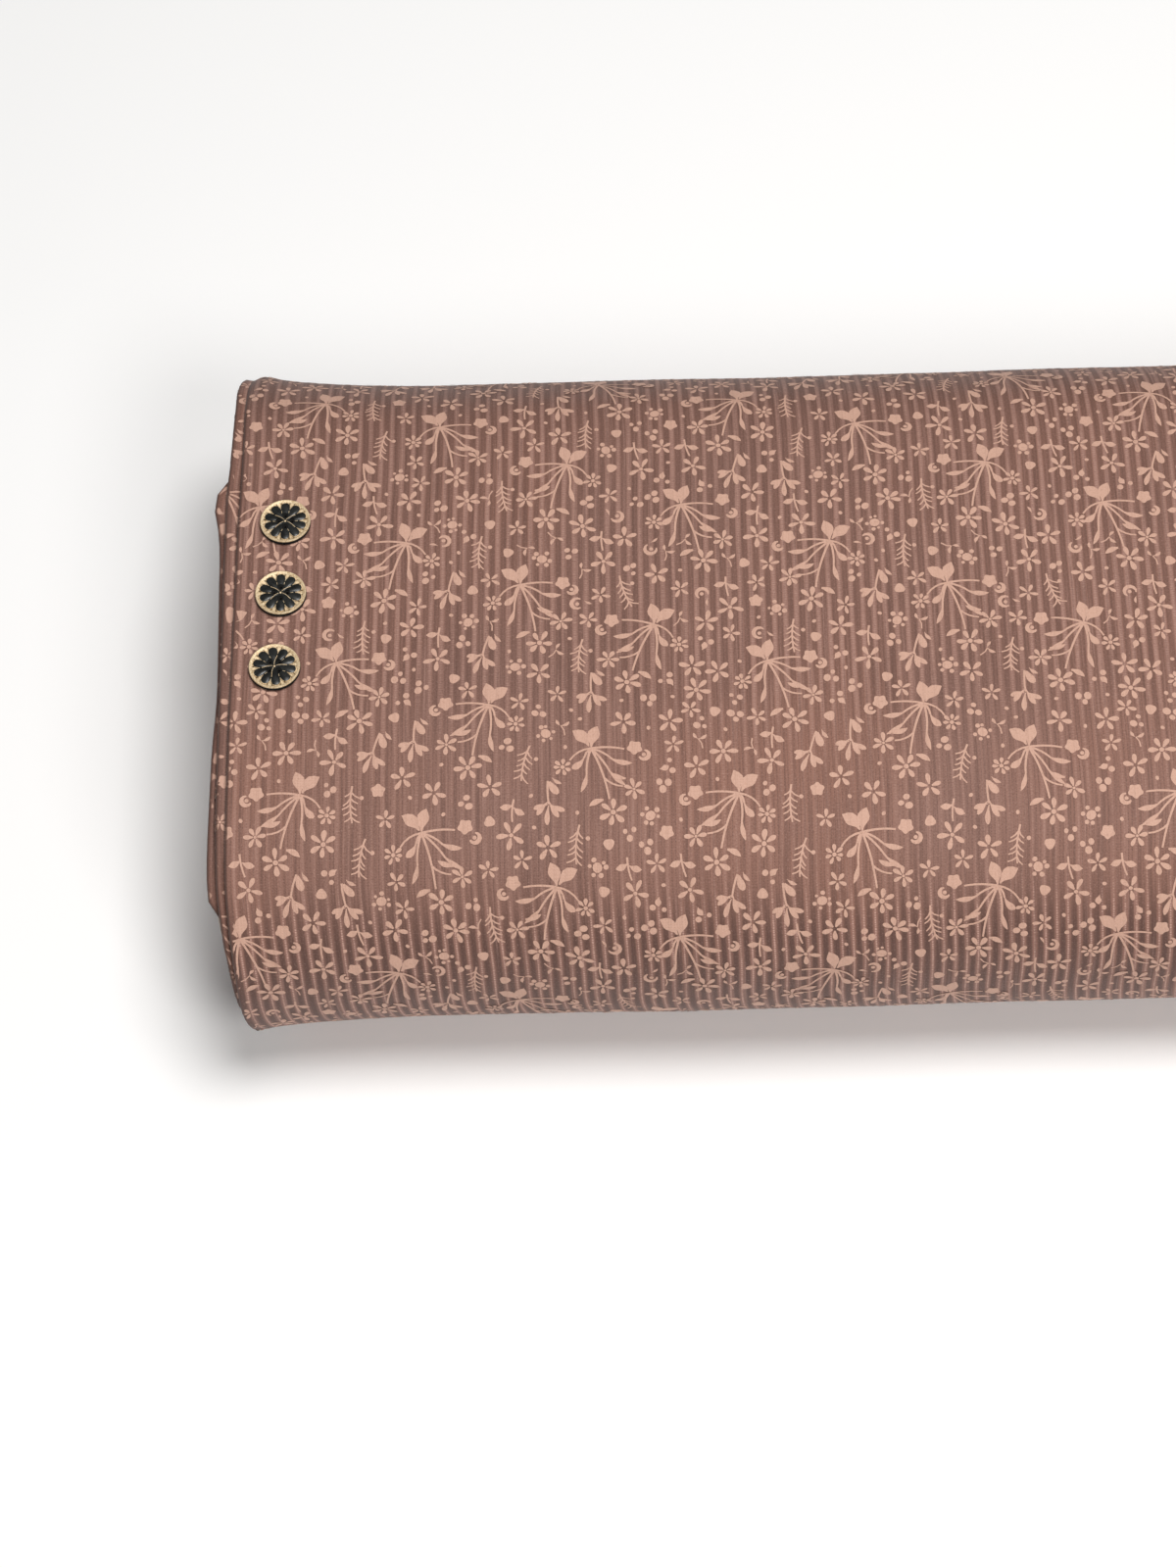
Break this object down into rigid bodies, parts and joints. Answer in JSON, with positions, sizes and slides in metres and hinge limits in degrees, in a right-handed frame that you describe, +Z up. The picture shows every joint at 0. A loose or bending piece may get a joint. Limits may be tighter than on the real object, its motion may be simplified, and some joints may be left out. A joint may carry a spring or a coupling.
{
  "type": "fabric bolt",
  "caption": "Bolt of printed rib jersey folded double and wound on a flat cardboard board, with a liftable cut end and loose four-hole enamelled brass buttons on top.",
  "frame": {"origin": "middle of the bolt's base, where it rests", "axes": "+X along the bolt away from the cloth's fold edge, +Y to the back where the cut end lies, +Z up"},
  "size_m": [0.75, 0.248, 0.1193],
  "materials": {
    "printed_jersey": "matt rib knit, mauve-brown ground with a small peach print, cream wrong side",
    "cardboard": "plain brown corrugated board",
    "antique_brass": "antique, textured rim",
    "black_enamel": "glossy black"
  },
  "bodies": {
    "cloth": {"outer_turn": "printed_jersey", "second_turn": "printed_jersey", "outer_windings": "printed_jersey", "middle_windings": "printed_jersey", "inner_windings": "printed_jersey"},
    "cut_end": {"free_end": "printed_jersey"},
    "board": {"board_sleeve": "cardboard", "board_end_flap_left": "cardboard", "board_end_flap_right": "cardboard"},
    "button_1": {"button_1_brass": "antique_brass", "button_1_enamel": "black_enamel"},
    "button_2": {"button_2_brass": "antique_brass", "button_2_enamel": "black_enamel"},
    "button_3": {"button_3_brass": "antique_brass", "button_3_enamel": "black_enamel"}
  },
  "joints": [
    {"name": "cut_end_lift", "type": "hinge", "parent": "cloth", "child": "cut_end", "pos_m": [0, 0.11975, 0.08039], "axis": [1, 0, 0], "range_deg": [0, 110]},
    {"name": "board_slide", "type": "slide", "parent": "cloth", "child": "board", "axis": [1, 0, 0], "range_m": [-0.7, 0.7]},
    {"name": "button_1_lift", "type": "slide", "parent": "cloth", "child": "button_1", "axis": [0, 0, 1], "range_m": [0, 0.05]},
    {"name": "button_2_lift", "type": "slide", "parent": "cloth", "child": "button_2", "axis": [0, 0, 1], "range_m": [0, 0.05]},
    {"name": "button_3_lift", "type": "slide", "parent": "cloth", "child": "button_3", "axis": [0, 0, 1], "range_m": [0, 0.05]}
  ]
}
